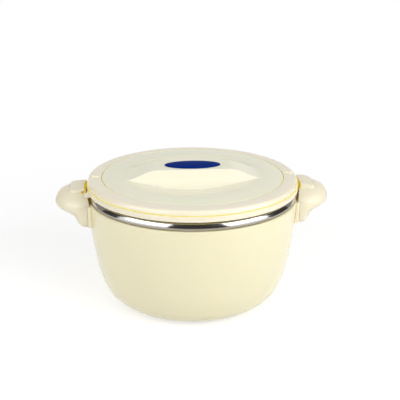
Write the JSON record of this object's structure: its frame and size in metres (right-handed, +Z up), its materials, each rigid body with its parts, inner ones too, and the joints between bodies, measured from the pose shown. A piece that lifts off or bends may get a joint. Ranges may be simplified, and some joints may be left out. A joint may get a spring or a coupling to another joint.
{
  "type": "insulated casserole with twist-lock lid",
  "caption": "Round insulated serving casserole: plastic bowl over a steel liner, ear handles, and a lift-off twist-lock lid with a raised grip between finger scoops.",
  "frame": {"origin": "on the table, at the middle of the foot ring", "axes": "+Z up along the axis of bowl and lid, +X through the right ear, -Y towards the front, where the left ear's slot opens"},
  "size_m": [0.2906, 0.222, 0.1463],
  "materials": {
    "cream_plastic": "glossy moulded polypropylene, cream",
    "panel_plastic": "glossy moulded polypropylene, pale greyish cream",
    "polished_steel": "polished stainless steel sheet",
    "insulating_foam": "rigid polyurethane foam, poured in place",
    "seal_silicone": "translucent white silicone",
    "badge_plastic": "glossy deep blue, plain",
    "screw_steel": "zinc-plated steel"
  },
  "bodies": {
    "pot": {"outer_bowl": "cream_plastic", "bowl_foam": "insulating_foam", "steel_liner": "polished_steel", "base_cover": "cream_plastic", "foam_plug": "cream_plastic", "base_screws": "screw_steel", "right_bracket": "cream_plastic", "left_bracket": "cream_plastic", "right_ear": "cream_plastic", "left_ear": "cream_plastic", "right_lock_cap": "cream_plastic", "left_lock_cap": "cream_plastic", "right_ear_screws": "screw_steel", "left_ear_screws": "screw_steel", "right_cap_screws": "screw_steel", "left_cap_screws": "screw_steel"},
    "seal": {"seal_ring": "seal_silicone"},
    "lid": {"lid_inner_cover": "cream_plastic", "lid_foam": "insulating_foam", "lid_top_ring": "cream_plastic", "lid_panel": "panel_plastic", "lid_badge": "badge_plastic"}
  },
  "joints": [
    {"name": "lid_lift", "type": "slide", "parent": "pot", "child": "seal", "axis": [0, 0, 1], "range_m": [0, 0.16]},
    {"name": "lid_twist", "type": "hinge", "parent": "seal", "child": "lid", "pos_m": [0, 0, 0.1234], "axis": [0, 0, -1], "range_deg": [0, 18]}
  ]
}
